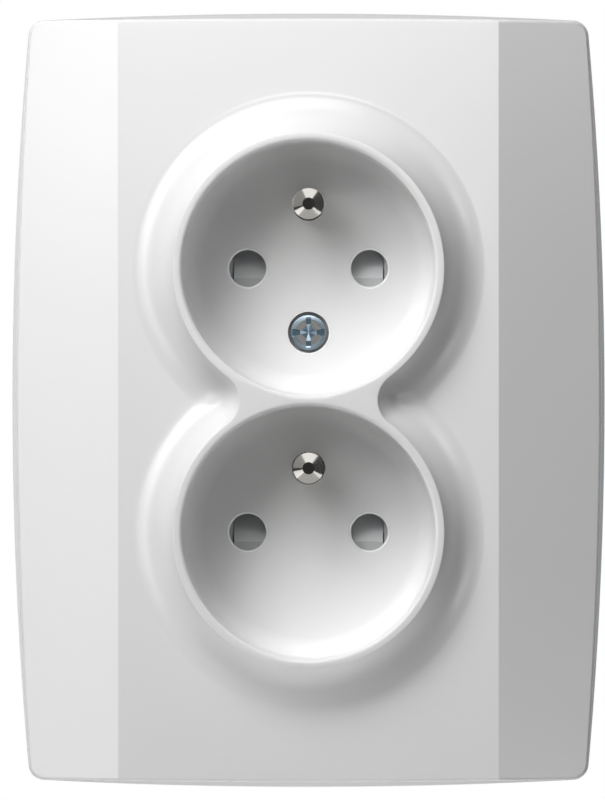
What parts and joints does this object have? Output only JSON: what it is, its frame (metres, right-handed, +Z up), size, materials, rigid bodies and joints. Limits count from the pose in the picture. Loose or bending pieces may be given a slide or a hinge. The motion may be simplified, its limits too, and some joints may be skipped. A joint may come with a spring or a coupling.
{
  "type": "double socket outlet",
  "caption": "Wall socket outlet with paired round plug wells, standing earth pins, sprung shutters behind the pin holes and swinging claws for a round wall box.",
  "frame": {"origin": "middle of the cover, on the plane of the wall, half way between the box screws", "axes": "+X to the right seen from the front, +Y into the wall, +Z up"},
  "size_m": [0.0926, 0.0494, 0.1208],
  "materials": {
    "white_cover_plastic": "smooth white moulding, satin gloss",
    "grey_shutter_plastic": "bluish grey moulding",
    "dark_base_plastic": "dark grey insulating moulding",
    "zinc_plated_screw_steel": "bluish zinc plating",
    "galvanised_sheet_steel": "galvanised sheet",
    "contact_brass": "rolled brass strip",
    "nickel_plated_pin": "nickel plating on brass",
    "spring_steel": "drawn wire"
  },
  "bodies": {
    "outlet": {"base_housing": "dark_base_plastic", "bracket_rivets": "galvanised_sheet_steel", "cover_screw": "zinc_plated_screw_steel", "earth_bar": "contact_brass", "earth_clamp_plate": "galvanised_sheet_steel", "earth_terminal_screw": "zinc_plated_screw_steel", "front_cover": "white_cover_plastic", "left_claw_screw": "zinc_plated_screw_steel", "live_clamp_plate": "galvanised_sheet_steel", "live_contact_bar": "contact_brass", "live_terminal_screw": "zinc_plated_screw_steel", "lower_earth_pin": "nickel_plated_pin", "lower_shutter_springs": "spring_steel", "mounting_bracket": "galvanised_sheet_steel", "neutral_clamp_plate": "galvanised_sheet_steel", "neutral_contact_bar": "contact_brass", "neutral_terminal_screw": "zinc_plated_screw_steel", "rear_cap": "dark_base_plastic", "rear_cap_screws": "zinc_plated_screw_steel", "right_claw_screw": "zinc_plated_screw_steel", "upper_earth_pin": "nickel_plated_pin", "upper_shutter_springs": "spring_steel"},
    "upper_shutter": {"upper_shutter": "grey_shutter_plastic"},
    "lower_shutter": {"lower_shutter": "grey_shutter_plastic"},
    "left_claw": {"left_claw": "galvanised_sheet_steel"},
    "right_claw": {"right_claw": "galvanised_sheet_steel"}
  },
  "joints": [
    {"name": "upper_shutter_slide", "type": "slide", "parent": "outlet", "child": "upper_shutter", "axis": [0, 0, -1], "range_m": [0, 0.0062], "stiffness_N_per_m": 60, "springref_m": -0.002, "deforming": ["upper_shutter_springs"]},
    {"name": "lower_shutter_slide", "type": "slide", "parent": "outlet", "child": "lower_shutter", "axis": [0, 0, -1], "range_m": [0, 0.0062], "stiffness_N_per_m": 60, "springref_m": -0.002, "deforming": ["lower_shutter_springs"]},
    {"name": "left_claw_swing", "type": "hinge", "parent": "outlet", "child": "left_claw", "pos_m": [-0.0183, 0.0018, 0.009], "axis": [0, 0, 1], "range_deg": [0, 15]},
    {"name": "right_claw_swing", "type": "hinge", "parent": "outlet", "child": "right_claw", "pos_m": [0.0183, 0.0018, -0.009], "axis": [0, 0, -1], "range_deg": [0, 15]}
  ]
}
